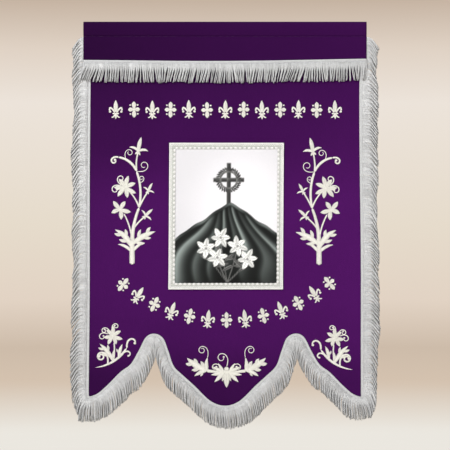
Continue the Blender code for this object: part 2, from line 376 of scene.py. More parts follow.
class Batch:
    """Many small closed shapes gathered into one piece."""

    def __init__(self):
        self.points, self.quads, self.triangles, self.uv, self.tint = [], [], [], [], []
        self.count = 0

    def loft(self, rings, u, v, tint=None):
        """A closed tube through rings of points (sections, around, 3), with fans at both ends."""
        sections, around = rings.shape[:2]
        ends = np.stack([rings[0].mean(0), rings[-1].mean(0)])
        self.points.append(np.vstack([rings.reshape(-1, 3), ends]))
        a = np.arange(around)
        b = (a + 1) % around
        first, last = sections * around, sections * around + 1
        base = (sections - 1) * around
        fans = np.vstack([np.stack([np.full(around, first), b, a], -1),
                          np.stack([np.full(around, last), base + a, base + b], -1)])
        uv = np.stack([np.repeat(u, around), np.tile(v, sections)], -1)
        self.uv.append(np.vstack([uv, [[u[0], 0.0], [u[-1], 0.0]]]))
        self.quads.append(grid_faces(sections, around, wrap=True) + self.count)
        self.triangles.append(fans + self.count)
        self.count += sections * around + 2
        tint = np.ones(around) if tint is None else tint
        self.tint.append(np.concatenate([np.tile(tint, sections), [tint.mean(), tint.mean()]]))

    def tube(self, line, radius, sides=6, flat=1.0):
        """A round thread along a line of points; radius is a number or one for each point."""
        line = np.asarray(line, float)
        first, second = frames(line)
        radius = np.broadcast_to(radius, len(line))[:, None, None]
        turn = np.arange(sides) * 2 * math.pi / sides
        rings = line[:, None] + radius * (first[:, None] * np.cos(turn)[:, None]
                                          + flat * second[:, None] * np.sin(turn)[:, None])
        self.loft(rings, run_length(line), turn * float(np.mean(radius)))

    def piece(self, name, material):
        return new_piece(name, np.vstack(self.points), np.vstack(self.quads), material,
                         np.vstack(self.triangles), np.vstack(self.uv), np.concatenate(self.tint))


def finish_piece(item, slot, *nodes):
    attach(item, "root")
    if nodes:
        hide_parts(*nodes)
    return item


def on_cloth(points, depth):
    """Puts x, z points on the draped cloth, depth behind its face (less is nearer the viewer)."""
    points = np.asarray(points, float)
    x, z = points[..., 0], points[..., 1]
    return np.stack([x, drape(x, z) + depth, z], -1)


def stitches(batch, line, depth, length=3.0, gap=1.4, radius=0.33):
    """A row of sewn stitches along a line of x, z points."""
    line = np.asarray(line, float)
    s = run_length(line)
    for start in np.arange(gap, s[-1] - length, length + gap):
        at = np.linspace(start, start + length, 3)
        thread = on_cloth(points_at(at, s, line), depth)
        thread[[0, -1], 1] += 0.45 * np.sign(LAYER_CLOTH - depth)
        batch.tube(thread, np.array([0.6, 1.0, 0.6]) * radius, 4)


# ------------------------------------------------------------------ the cloth
def field_cloth(columns=150, rows=96):
    s = np.linspace(0.0, FOOT_S[-1], columns + 1)
    here, out = foot_point(s)
    foot = here + HEADING_WIDTH * 0.9 * out
    foot[:, 0] = np.clip(foot[:, 0], side_x(-1, foot[:, 1]), side_x(1, foot[:, 1]))
    fall = np.linspace(0.0, 1.0, rows + 1)[:, None]
    top_x = np.linspace(-1.0, 1.0, columns + 1)[None] * CLOTH_HALF_WIDTH
    z = -CLOTH_TOP + fall * (foot[None, :, 1] + CLOTH_TOP)
    x = top_x + (foot[None, :, 0] - top_x) * fall
    x[:, 0], x[:, -1] = side_x(-1, z[:, 0]), side_x(1, z[:, -1])
    y = drape(x, z) + LAYER_CLOTH
    area = ((x[:-1, 1:] - x[:-1, :-1]) * (z[:-1, 1:] - z[1:, 1:])).sum()
    return cloth_piece("field_cloth", x, y, z, FIELD_THICKNESS, PURPLE), area * MM * MM


def heading_cloth(columns=122):
    section = smooth_line(BAND_SECTION, 5)
    x = np.linspace(-BAND_HALF_WIDTH, BAND_HALF_WIDTH, columns + 1)[None] + 0 * section[:, :1]
    drop = section[:, 1:2]
    z = -drop - ramp(60.0, 100.0, drop) * flap_sag(x)
    pucker = np.exp(-((drop - SEAM_DROP) / 5.0) ** 2) * 0.35 * np.sin(x / 3.1 + 1.5 * np.sin(x / 37.0))
    y = drape(x, z) + section[:, 0:1] + pucker
    return cloth_piece("heading_cloth", x, y, z, BAND_THICKNESS, PURPLE), run_length(section)[-1] * MM


# ------------------------------------------------------------------ the fringes
STRAND_STEPS = 36
LEAD = 0.15  # how much of a strand lies on the heading, before it hangs free
REACH = 1.12  # how much of a strand's path is worked out, for the longest strands
STRAND_SPACING = 1.05
STRAND_LAYERS = 3
STRAND_SEGMENTS = 6
STRAND_RADIUS = 0.68
CORD_PITCHES = (17.0, 5.8, 4.4)  # cords, small cords, and those of the back layer
CORD_NUMBERS = 9000  # more than any fringe has cords
BIG_CORD_NUMBERS = 4000
BACK_CORDS_FROM = 4000  # the back layer's small cords are numbered from here
TAPE_STEP = 2.4


def walk(near, edge, lean, length):
    """Strand paths (stations, steps + 1, 2) from the heading; lean(v) gives an angle each."""
    path = [edge + (near - edge) / HEADING_WIDTH * LEAD * STRAND_LENGTH]
    step = length * (LEAD + REACH) / STRAND_STEPS
    for k in range(STRAND_STEPS):
        angle = lean(max(0.0, (k + 0.5) / STRAND_STEPS * (LEAD + REACH) - LEAD))
        path.append(path[-1] + np.stack([np.sin(angle), -np.cos(angle)], -1) * step)
    return np.stack(path, 1)


def top_paths(stations=420):
    x = np.linspace(-BAND_HALF_WIDTH, BAND_HALF_WIDTH, stations)
    near = np.stack([x, -TOP_FRINGE_DROP - flap_sag(x)], -1)
    edge = near - (0.0, HEADING_WIDTH)
    spread = -0.12 + 0.16 * np.sin(x / 41.0 + 0.6) + 0.10 * np.sin(x / 17.0)
    return near, edge, walk(near, edge, lambda v: spread * min(1.0, 3 * v), STRAND_LENGTH - 3.0)


def side_paths(side, stations=520):
    z = np.linspace(-CLOTH_TOP, -CORNER_DROP, stations)
    mitre = ramp(CORNER_DROP - 26.0, CORNER_DROP, -z)
    near = np.stack([side_x(side, z, HEADING_WIDTH), z], -1)
    near[-1, 0] = side * CORNER_X
    edge = near + np.stack([side * HEADING_WIDTH + 0 * z, -HEADING_WIDTH * mitre], -1)
    wave = 2.5 * np.sin(z / 70.0 + 2 * side) + 2.0 * np.sin(z / 31.0 + 4 * side)
    wave = wave + 2.2 * np.sin(z / 12.5 + side) * np.sin(z / 57.0)
    hang = 58.0 + 1.8 * wave + 12.0 * ramp(840.0, 975.0, -z)
    if side < 0:
        hang = hang + 9.0 * np.exp(-((z + 455.0) / 75.0) ** 2)
    else:
        hang = hang - 15.0 * ramp(62.0, 42.0, -z)
    hang = np.radians(hang)

    def lean(v):
        plain = side * (math.pi / 2 - hang * ramp(0.1, 0.5, v))
        fan = side * (math.pi / 4) * max(0.0, 1.0 - v) ** 1.3
        return plain + (fan - plain) * mitre

    return near, edge, walk(near, edge, lean, STRAND_LENGTH + 1.5)


def bottom_paths(stations=620):
    s_low = np.interp(-CORNER_X, FOOT[:, 0], FOOT_S)
    s = np.linspace(s_low, FOOT_S[-1] - s_low, stations)
    near, out = foot_point(s)
    corner = 1.0 - ramp(0.0, 26.0, CORNER_X - abs(near[:, 0]))
    fan = np.stack([np.sign(near[:, 0]), -np.ones(stations)], -1)
    out = out + (fan - out) * corner[:, None]
    edge = near + HEADING_WIDTH * out
    leave = np.arctan2(out[:, 0], -out[:, 1])
    power = 3.0 - 1.6 * corner

    x = near[:, 0]
    drift = 0.08 * ramp(-335.0, -290.0, x)
    extra = (7.5 - 4.5 * (x > 0)) * ramp(165.0, 235.0, abs(x))
    extra = extra + 6.0 * ramp(15.0, 60.0, x) * ramp(200.0, 150.0, x) + corner * np.where(x < 0, 3.0, -4.0)
    extra = extra + 4.0 * np.exp(-((x - 333.0) / 16.0) ** 2)

    def lean(v):
        return leave * max(0.0, 1.0 - v) ** power + drift * ramp(0.05, 0.5, v)

    return near, edge, walk(near, edge, lean, STRAND_LENGTH + (extra + np.sin(x / 27.0))[:, None])


def look_up(table, share, v):
    """Reads a table of paths between its stations and steps."""
    a = np.clip(share, 0.0, 1.0) * (table.shape[0] - 1)
    b = np.clip((v + LEAD) / (REACH + LEAD), 0.0, 1.0) * (table.shape[1] - 1)
    i, j = np.minimum(a.astype(int), table.shape[0] - 2), np.minimum(b.astype(int), table.shape[1] - 2)
    fa, fb = (a - i)[..., None], (b - j)[..., None]
    near = table[i, j] * (1 - fb) + table[i, j + 1] * fb
    far = table[i + 1, j] * (1 - fb) + table[i + 1, j + 1] * fb
    return near * (1 - fa) + far * fa


def hanging_width(near, table):
    """Sums along the heading of how far apart strands hang and end, and the rate of the first."""
    s = run_length(near)
    middle, low = table.shape[1] * 2 // 3, table.shape[1] * 8 // 9
    hang = table[:, middle] - table[:, middle - 6]
    hang /= np.linalg.norm(hang, axis=1, keepdims=True) + 1e-9
    step = np.gradient(s)[:, None]
    apart = np.gradient(table[:, middle], axis=0) / step
    rate = np.clip(abs(apart[:, 0] * hang[:, 1] - apart[:, 1] * hang[:, 0]), 0.42, 3.0)
    spread = np.clip(np.linalg.norm(np.gradient(table[:, low], axis=0) / step, axis=1), 0.8, 3.5)
    width, crowd = (np.concatenate([[0.0], np.cumsum((r[1:] + r[:-1]) / 2 * np.diff(s))])
                    for r in (rate, spread))
    return width, crowd, rate


def clump(s, pitch, rng, loose):
    """For each strand: how far the middle of its clump is, the clump's number, and its width."""
    edges = np.cumsum(pitch * rng.uniform(1 - loose, 1 + loose, int(s.max() / pitch * 1.6) + 8))
    edges = np.concatenate([[-pitch], edges])
    index = np.searchsorted(edges, s)
    middle = (edges[index - 1] + edges[index]) / 2
    width = edges[index] - edges[index - 1]
    return middle - s, index, width


def strands(name, paths, layer, fringe, gather, filled, restless, lift, number):
    """The cut strands of one fringe, in cords that draw together below the heading.

    filled gives the back layer cords of its own, so that it closes the gaps between the front ones; that
    back layer, and strands towards the edges of the small cords, are painted darker as painted shade.
    """
    rng = np.random.default_rng(SEED + number)
    near, _, table = paths
    length = run_length(near)[-1]
    width, crowd, rate = hanging_width(near, table)
    stations = np.linspace(0.0, length, len(width))
    count = int(crowd[-1] / STRAND_SPACING)
    s = np.concatenate([(np.arange(count) + rng.uniform(-0.4, 0.4, count) + 0.5) * crowd[-1] / count
                        for _ in range(STRAND_LAYERS)])
    s = np.interp(s, crowd, stations)
    level = np.repeat(np.arange(STRAND_LAYERS), count)
    from_middle = level - (STRAND_LAYERS - 1) / 2
    back = (level == STRAND_LAYERS - 1) & filled
    hung, rate = np.interp(s, stations, width), np.interp(s, stations, rate)
    cords, small_cords, back_cords = (
        clump(hung, pitch, np.random.default_rng(SEED + 50 + 30 * k + number), 0.4 if k else 0.5)
        for k, pitch in enumerate(CORD_PITCHES))
    big, big_id, big_width = cords
    small, small_id, small_width = (np.where(back, b, a) for a, b in zip(small_cords, back_cords))
    small_id = small_id + BACK_CORDS_FROM * back
    pull_big = rng.uniform(0.2, 1.0, BIG_CORD_NUMBERS)[big_id] * gather
    grip = rng.uniform(0.0, 1.0, BIG_CORD_NUMBERS)[big_id]
    pull_small = 0.38 + 0.42 * grip * rng.uniform(0.4, 1.0, CORD_NUMBERS)[small_id]
    pull_small = pull_small * np.where(back, 0.2, 1.0)
    # How deeply each cord's edges are painted in shade.
    gap = rng.uniform(0.25, 1.0, CORD_NUMBERS)[small_id - (small > 0)] * (0.45 + 0.55 * grip)
    twist = rng.uniform(0, 2 * math.pi, CORD_NUMBERS)[small_id]
    sway = rng.normal(0.0, 1.0, CORD_NUMBERS)[small_id]
    end = 1.0 + rng.uniform(-0.05, 0.04, CORD_NUMBERS)[small_id] + rng.uniform(-0.035, 0.02, len(s))
    stray = rng.normal(0.0, 1.0, len(s))
    share = np.linspace(0.0, 1.0, STRAND_SEGMENTS + 1)[None]
    v = -LEAD + share * (end[:, None] + LEAD)
    grown = np.clip(v, 0.0, 1.0)
    free = ramp(0.0, 0.45, grown)
    move = (small * pull_small)[:, None] * free + (big * pull_big)[:, None] * grown ** 1.4
    move = move + (stray * 0.4)[:, None] * grown + (sway * restless)[:, None] * grown ** 1.5
    move = move + 0.5 * np.sin(2 * math.pi * v * 2.6 + twist[:, None]) * grown
    move = move / rate[:, None]
    spots = look_up(table, (s[:, None] + move) / length, v)
    x, z = spots[..., 0], spots[..., 1]
    middle = np.cos(math.pi / 2 * np.clip(2 * small / small_width, -1, 1))
    middle_big = np.cos(math.pi * np.clip(2 * big / big_width, -1, 1))
    depth = from_middle * 1.1 + rng.uniform(-0.3, 0.3, len(s))
    puff = -(0.8 * middle_big + 2.6 * (middle - 0.6) * ~back)
    rest = -0.75 + 0.45 * from_middle
    y = drape(x, z) + layer + (depth + puff)[:, None] * free + rest[:, None] * (1 - free)
    centre = np.stack([x, y, z], -1)
    first, second = frames(centre)
    radius = (STRAND_RADIUS * rng.uniform(0.85, 1.15, len(s)))[:, None] * np.where(share == 1.0, 0.6, 1.0)
    turn = np.arange(3) * 2 * math.pi / 3
    angle = turn[None, None, :, None] + rng.uniform(0, 2 * math.pi, len(s))[:, None, None, None]
    rings = centre[:, :, None] + radius[:, :, None, None] * (first[:, :, None] * np.cos(angle)
                                                              + second[:, :, None] * np.sin(angle))
    starts = (np.arange(len(s)) * (STRAND_SEGMENTS + 1) * 3)[:, None, None]
    quads = grid_faces(STRAND_SEGMENTS + 1, 3, wrap=True)[None] + starts
    last = STRAND_SEGMENTS * 3
    caps = np.array([[last, last + 1, last + 2], [2, 1, 0]])[None] + starts
    u = (v * STRAND_LENGTH)[:, :, None] + 0 * turn
    uv = np.stack([u, turn * 0.6 + 0 * u], -1).reshape(-1, 2)
    shade = 0.97 + 0.08 * rng.uniform(-1, 1, CORD_NUMBERS)[small_id] + 0.05 * rng.uniform(-1, 1, len(s))
    # Painted shade: strands are painted darker towards the edges of their small cords, where the gaps
    # between cords lie in shade, and a filled back layer is painted darker as if shaded by the front layers.
    dark = (1.7 * gap * (1 - middle) ** 1.7 + np.where(back, 0.42, 0.0))[:, None] * ramp(0.22, 0.55, grown)
    shade = shade[:, None] * lift * np.clip(1.0 - dark, 0.12, 1.0)
    item = new_piece(name, rings.reshape(-1, 3), quads, STRANDS, caps, uv, np.repeat(shade.ravel(), 3))
    finish_piece(item, "silver_fringe", fringe)


def heading_tape(name, paths, layer, fringe, shades):
    """The woven head of a fringe: a ribbed tape in two shades, with a row of stitches."""
    near, edge, _ = paths
    s = run_length(near)
    across = np.array([-0.02, 0.0, 0.05, 0.12, 0.2, 0.28, 0.35, 0.4, 0.5, 0.6, 0.8, 1.0, 1.0, 0.6, 0.0])
    rise = np.array([0.0, 0.5, 0.8, 0.8, 0.85, 0.8, 0.8, 0.8, 0.8, 0.8, 0.7, 0.5, -0.8, -0.9, -0.9])
    at = np.linspace(0, s[-1], int(s[-1] / TAPE_STEP))
    a, b = points_at(at, s, near), points_at(at, s, edge)
    rings = on_cloth(a[:, None] + (b - a)[:, None] * across[None, :, None], layer)
    knit = 1.0 + 0.2 * np.sin(at * 2 * math.pi / 7.3)
    rings[..., 1] -= np.where(rise > 0, rise * knit[:, None], rise)
    batch = Batch()
    batch.loft(rings, at, across * HEADING_WIDTH, np.where(across < 0.16, *shades))
    tape = finish_piece(batch.piece(name, HEADING), "silver_fringe", fringe)
    rows = Batch()
    stitches(rows, a + (b - a) * 0.49, layer - 1.1, 2.6, 2.9, 0.5)
    finish_piece(rows.piece(name + "_stitches", GREY_SEWING), "silver_fringe")
    return tape


# ------------------------------------------------------------------ the picture and its braid
def frame_point(across, up):
    across, up = np.broadcast_arrays(np.asarray(across, float), np.asarray(up, float))
    return np.stack([FRAME_SHIFT + across + 0.0065 * up, -FRAME_DROP + up], -1)


def soft(edge, width):
    """1 where edge is above 0, 0 below, over a soft width."""
    return ramp(-width, width, edge)


CROSS_X, CROSS_Z, CROSS_ARM_RISE = 6.0, 78.0, 16.0
WREATH_RADIUS, WREATH_LEAVES = 24.0, 30
LILIES = (  # across, up, turn
    (-52.0, -84.0, 0.5), (-14.0, -56.0, 0.1), (30.0, -78.0, 0.8), (-22.0, -108.0, 0.3), (56.0, -112.0, 0.2),
)
LILY_FOOT_X, LILY_FOOT_Z = 4.0, -172.0
FOLDS = (  # the satin's folds: direction, width, lightness, and how high each is lightest
    (-1.16, 0.06, 0.30, 0.9), (-0.95, 0.05, 0.42, 0.7), (-0.72, 0.045, 0.24, 1.0), (-0.55, 0.04, 0.50, 0.6),
    (-0.36, 0.04, 0.26, 0.9), (-0.20, 0.03, 0.44, 0.5), (0.0, 0.04, 0.22, 0.8), (0.15, 0.035, 0.50, 0.6),
    (0.36, 0.05, 0.24, 0.9), (0.52, 0.035, 0.46, 0.7), (0.74, 0.05, 0.28, 0.9), (0.95, 0.045, 0.46, 0.8),
)


def painted(x, z):
    """The picture's shades: a plain cross in a wreath, over a dark hill of folded satin with lilies."""
    light = 0.93 - 0.085 * ramp(50.0, 190.0, np.hypot(x - 40.0, (z - 10.0) * 0.85))
    tone = np.stack([light * 0.985, light * 0.985, light * 1.01], -1)

    def lay(mask, value, tint=(0.99, 1.0, 0.995)):
        nonlocal tone
        value = np.asarray(value, float)[..., None] * np.array(tint)
        tone = tone * (1 - mask[..., None]) + value * mask[..., None]

    def blade(x0, z0, way, length, width, value, rib=0.2):
        a = ((x - x0) * math.cos(way) + (z - z0) * math.sin(way)) / length
        b = ((z - z0) * math.cos(way) - (x - x0) * math.sin(way)) + 0.10 * length * a * a
        edge = soft(width * np.sin(np.clip(a, 0, 1) * math.pi) ** 0.8 - np.abs(b), 0.6)
        lay(edge * soft(a * length, 0.5) * soft((1 - a) * length, 0.5),
            value - rib * np.exp(-(b / 0.9) ** 2) + 0.05 * b / width)

    arm_z = CROSS_Z + CROSS_ARM_RISE
    post = soft(5.5 - np.abs(x - CROSS_X), 0.8) * soft(CROSS_Z + 60.0 - z, 0.8) * soft(z + 60.0, 2.0)
    arm = soft(5.5 - np.abs(z - arm_z), 0.8) * soft(40.0 - np.abs(x - CROSS_X), 0.8)
    lit = 0.14 * soft(-(x - CROSS_X) / 5.5 - 0.2, 0.8) * post + 0.12 * soft((z - arm_z) / 5.5, 0.9) * arm
    lay(np.maximum(post, arm), 0.20 + lit + 0.02 * np.sin(x * 1.9 + np.sin(z / 9.0)))
    for k in range(WREATH_LEAVES):
        way = k * 2 * math.pi / WREATH_LEAVES
        leaf_x, leaf_z = CROSS_X + WREATH_RADIUS * math.cos(way), arm_z + WREATH_RADIUS * math.sin(way)
        for lean, value in ((0.75, 0.30), (2.1, 0.44)):
            blade(leaf_x, leaf_z, way + lean, 12.0, 2.6, value + 0.05 * math.sin(5 * k), 0.1)
    crest = 30.0 - 92.0 * (np.abs(x - 10.0) / 140.0) ** 1.35
    crest = crest + 4.0 * np.sin(x / 21.0 + 1.0) + 1.4 * np.sin(x / 7.3)
    hill = soft(crest - z, 1.2)
    deep = np.clip((crest - z) / 210.0, 0.0, 1.0)
    fan = np.arctan2(x - 8.0, 92.0 - z)
    bend = fan + 0.07 * np.sin(z / 31.0 + 3.0 * fan) - 0.05 * deep
    folds = sum(amount * np.exp(-np.abs((bend - at) / (wide * np.where(bend > at, 1.9, 0.7))) ** 1.6)
                * np.sin(np.clip(deep * 1.02 + 0.04, 0, 1) ** power * math.pi)
                for at, wide, amount, power in FOLDS)
    rim = np.exp(-((crest - z - 3.5) / 5.0) ** 2) * (0.22 + 0.12 * np.sin(x / 13.0))
    lay(hill, 0.10 + np.maximum(folds * ramp(0.0, 16.0, crest - z), rim), (0.93, 1.0, 0.985))
    for x0, z0, turn in LILIES:
        for part in np.linspace(0.0, 1.0, 22):
            stalk_x = x0 + (LILY_FOOT_X - x0) * part ** 1.3
            lay(soft(1.2 - np.hypot(x - stalk_x, (z - z0 - (LILY_FOOT_Z - z0) * part) * 0.35), 0.7), 0.40)
        for part, side in ((0.35, -1), (0.55, 1)):
            leaf_x, leaf_z = x0 + (LILY_FOOT_X - x0) * part ** 1.3, z0 + (LILY_FOOT_Z - z0) * part
            blade(leaf_x, leaf_z, math.pi / 2 - side * (0.7 + turn), 36.0, 4.2, 0.42)
    for x0, z0, turn in LILIES:
        for petal in (1, 3, 5, 0, 2, 4):
            reach = 27.0 + 2.0 * math.sin(petal * 2.0 + x0)
            blade(x0, z0, petal * math.pi / 3 + turn, reach, 6.6, 0.97 - 0.10 * (petal % 2), 0.24)
        lay(soft(3.2 - np.hypot(x - x0, z - z0), 0.8), 0.55)
        for petal in range(6):
            way = petal * math.pi / 3 + turn + 0.5
            lay(soft(1.1 - np.hypot(x - x0 - 8 * math.cos(way), z - z0 - 8 * math.sin(way)), 0.6), 0.35)
    return np.clip(tone, 0.02, 1.0) ** 2.2


def picture_cloth(columns=150, rows=192):
    across = np.linspace(-PANEL_WIDTH / 2, PANEL_WIDTH / 2, columns + 1)[None]
    up = np.linspace(-PANEL_HEIGHT / 2, PANEL_HEIGHT / 2, rows + 1)[:, None]
    spots = frame_point(across, up)
    x, z = spots[..., 0], spots[..., 1]
    y = drape(x, z) + LAYER_PICTURE
    tint = painted(*np.broadcast_arrays(across, up)).reshape(-1, 3)
    return cloth_piece("picture_cloth", x, y, z, PANEL_THICKNESS, PRINT, tint)


def braid_strip(node, start, stop, inward):
    """The woven ground of one strip of gimp braid, between the ends of its outer edge."""
    start, stop, inward = (np.asarray(p, float) for p in (start, stop, inward))
    length = np.linalg.norm(stop - start)
    s = np.linspace(0.1, length - 0.1, int(length / 2.0))
    across = np.array([0.4, 0.6, 3.0, 6.0, 7.4, 9.0, 10.6, 12.0, 15.5, 16.4, 16.6, 16.4, 9.0, 0.6])
    rise = np.array([0.0, 0.5, 0.7, 0.9, 0.6, 0.2, 0.6, 0.8, 0.6, 0.5, 0.0, -0.6, -0.6, -0.6])
    shade = np.array([1.0, 1.0, 0.95, 0.92, 0.9, 0.74, 0.70, 0.74, 0.74, 0.8, 0.9, 1.0, 1.0, 1.0])
    flat = start + (s[:, None] * (stop - start) / length)[:, None] + (across[:, None] * inward)[None]
    rings = on_cloth(frame_point(flat[..., 0], flat[..., 1]), LAYER_BRAID)
    rings[..., 1] -= rise[None]
    ground = Batch()
    # Painted shade: the top strip is painted 12 % darker and the left strip 5 % darker than the others; the
    # shades across are the braid's own darker middle.
    ground.loft(rings, s, across, shade * (1.0 - 0.12 * (inward[1] < 0) - 0.05 * (inward[0] > 0)))
    return finish_piece(ground.piece(node + "_ground", BRAID_GREEN), "white_braid", node)


def braid_cords():
    """The raised work on the braid, mitred round the picture: cord, small stitches, knots and picots."""
    cords = Batch()
    corners = ((-1, 1), (1, 1), (1, -1), (-1, -1))

    def line(inset, side, step=1.2):
        a, b = (np.array([x * (FRAME_WIDTH / 2 - inset), z * (FRAME_HEIGHT / 2 - inset)])
                for x, z in (corners[side], corners[(side + 1) % 4]))
        length = np.linalg.norm(b - a)
        return a, (b - a) / length, np.linspace(0.0, length, int(length / step))

    def put(flat, lift, radius, sides=6, squash=0.55):
        cords.tube(on_cloth(frame_point(flat[:, 0], flat[:, 1]), LAYER_BRAID - lift), radius, sides, squash)

    for side in range(4):
        inward = np.array(((0, -1), (-1, 0), (0, 1), (1, 0))[side], float)
        a, way, s = line(2.3, side)
        put(a + np.outer(s, way), 1.0, 1.85 * (1.0 + 0.10 * np.sin(s * 2 * math.pi / 5.8)), 8)
        a, way, s = line(6.2, side)
        put(a + np.outer(s, way) + np.outer(0.9 * np.sin(s * 2 * math.pi / 5.8), inward), 1.0, 0.8)
        a, way, s = line(14.0, side)
        knots = int(round(s[-1] / 11.6))
        gap = s[-1] / knots
        for k in range(knots):
            t = np.linspace(-1.0, 1.0, 7)
            middle = a + way * gap * (k + 0.5)
            put(middle + np.outer(3.9 * t, way), 1.1, 2.7 * np.maximum(0.03, 1 - t ** 2) ** 0.5, 8)
            turn = np.linspace(0.0, math.pi, 7)
            picot = np.outer(4.6 * np.cos(turn), way) + np.outer(0.8 + 2.2 * np.sin(turn), inward)
            put(middle + picot, 0.2, 0.45, 5, 1.0)
    finish_piece(cords.piece("braid_cords", BRAID_WHITE), "white_braid")


# ------------------------------------------------------------------ embroidery
def arc_line(start, way, length, turn, power=1.0, points=7):
    """Points of a curve that leaves at angle way and turns by turn degrees, late if power is over 1."""
    share = (np.arange(points - 1) + 0.5) / (points - 1)
    angle = np.radians(way + turn * share ** power)
    moves = np.stack([np.cos(angle), np.sin(angle)], -1) * length / (points - 1)
    return np.asarray(start, float) + np.vstack([[0.0, 0.0], np.cumsum(moves, axis=0)])


def toward(start, way, length):
    """The point at so many degrees and mm from start."""
    way = math.radians(way)
    return np.asarray(start, float) + length * np.array([math.cos(way), math.sin(way)])


LEAF_GROOVE = 0.45


class Needle:
    """Raised satin stitch. mirror flips x, turn turns and move shifts what is drawn."""

    def __init__(self, mirror=1, move=(0.0, 0.0)):
        self.batch = Batch()
        self.mirror, self.move, self.turn = mirror, move, 0.0

    def place(self, points):
        points = np.asarray(points, float)
        c, s = math.cos(self.turn), math.sin(self.turn)
        x, z = points[..., 0] * self.mirror, points[..., 1]
        return np.stack([x * c - z * s + self.move[0], x * s + z * c + self.move[1]], -1)

    def stroke(self, line, half_width, height=1.3, groove=0.0):
        """A crowned stroke along a line, with a half width at each point; painted darker towards its edges
        and along its groove, as painted shade.
        """
        line = self.place(line)
        if self.mirror < 0:
            line, half_width = line[::-1], np.asarray(half_width)[::-1]
        along = np.gradient(line, axis=0)
        along /= np.linalg.norm(along, axis=1, keepdims=True) + 1e-9
        normal = np.stack([along[:, 1], -along[:, 0]], -1)
        t = np.array([-1.0, -0.82, -0.5, -0.2, 0.0, 0.2, 0.5, 0.82, 1.0])
        crown = np.sqrt(np.maximum(0.0, 1 - t ** 2)) * (1.0 - groove * np.exp(-(t / 0.2) ** 2))
        width = np.asarray(half_width, float)
        full = height * np.clip(width / 2.2, 0.25, 1.0)
        spots = line[:, None] + normal[:, None] * (t[None, :, None] * width[:, None, None])
        rings = on_cloth(spots, 0.35)
        rings[..., 1] -= 0.35 * (np.abs(t) < 0.99) + full[:, None] * crown[None]
        # Painted shade: each stroke is painted darker towards its edges, where it dips into the cloth, and
        # along a leaf's middle groove.
        shade = (0.46 + 0.54 * np.sqrt(1 - t ** 2)) * (1 - 0.5 * groove * np.exp(-(t / 0.16) ** 2))
        self.batch.loft(rings, run_length(line), t * float(width.mean()), shade)

    def stem(self, points, wide, height=1.1):
        """A line of even or changing thickness, with rounded ends."""
        line = smooth_line(points, 7 if len(points) < 7 else 3)
        share = run_length(line)
        share = share / share[-1]
        wide = np.asarray(wide, float)
        half = np.interp(share, np.linspace(0, 1, wide.size), np.atleast_1d(wide)) / 2
        ends = np.sqrt(np.clip(np.minimum(share, 1 - share) * 24.0, 0.06, 1.0))
        self.stroke(line, half * ends, height)

    def leaf(self, base, tip, width, bend=0.0, full=0.5, foot=0.25, height=1.5):
        """A pointed leaf or petal from base to tip, bent sideways by a share of its length."""
        base, tip = np.asarray(base, float), np.asarray(tip, float)
        run = tip - base
        side = np.array([-run[1], run[0]])
        t = np.linspace(0.0, 1.0, 17)
        line = base + np.outer(t, run) + np.outer(np.sin(math.pi * t) * bend, side)
        rise = np.where(t < full, foot + (1 - foot) * np.sin(t / full * math.pi / 2),
                        np.cos((t - full) / (1 - full) * math.pi / 2) ** 0.8)
        self.stroke(line, np.maximum(0.12, rise * width / 2), height, LEAF_GROOVE)

    def knot(self, centre, radius, height=2.0):
        t = np.linspace(-1.0, 1.0, 9)
        line = np.stack([centre[0] + t * radius, centre[1] + 0 * t], -1)
        self.stroke(line, np.maximum(0.1, radius * np.sqrt(np.maximum(0.0, 1 - t ** 2))), height)

    def arc(self, start, way, length, turn, wide, height=1.1):
        """A curved stem; gives back its line, of seven points."""
        line = arc_line(start, way, length, turn)
        self.stem(line, wide, height)
        return line

    def tendril(self, start, way, length, turn, wide=2.3, bead=0.0):
        """A thin stem that winds into a coil, with a bead in it if asked."""
        line = arc_line(start, way, length, turn, 1.9, 15)
        self.stem(line, [wide, wide, wide * 0.85])
        if bead:
            self.knot(line[-1], bead)

    def lobed_leaf(self, start, way, length, turn, width, lobes=2):
        """A curved leaf with pairs of pointed lobes."""
        line = arc_line(start, way, length, turn)
        self.stem(line, np.array([0.4, 0.85, 1.0, 0.75, 0.1]) * width, 1.7)
        for k in range(lobes):
            for side in (-1, 1):
                share = 0.30 + 0.25 * k + 0.06 * side
                here = line[int(round(share * 6))]
                tip = toward(here, way + turn * share + side * (46 - 8 * k), length * (0.36 - 0.05 * k))
                self.leaf(here, tip, width * 0.6, 0.10 * side, foot=0.7)

    def bloom(self, centre, reach, count, start, width):
        """An open flower of pointed petals."""
        for k in range(count):
            tip = toward(centre, start + 360.0 * k / count, reach * (0.95 + 0.07 * math.cos(2.4 * k)))
            self.leaf(centre, tip, width, 0.04 * (-1) ** k, 0.55, 0.4, 1.7 + 0.5 * (k % 2))
        self.knot(centre, 0.11 * reach)

    def lily(self, base, way, length):
        """A flower seen from the side: one tall petal, two that fall outwards, and small sepals."""
        wide = np.array([0.12, 0.2, 0.18, 0.03]) * length
        for side in (-1, 1):
            self.leaf(base, toward(base, way + side * 142, length * 0.3), length * 0.16, foot=0.7)
            self.arc(base, way + side * 42, length * 0.72, side * 70, wide)
        self.leaf(base, toward(base, way, length), length * 0.3, 0.03, full=0.5, foot=0.75)


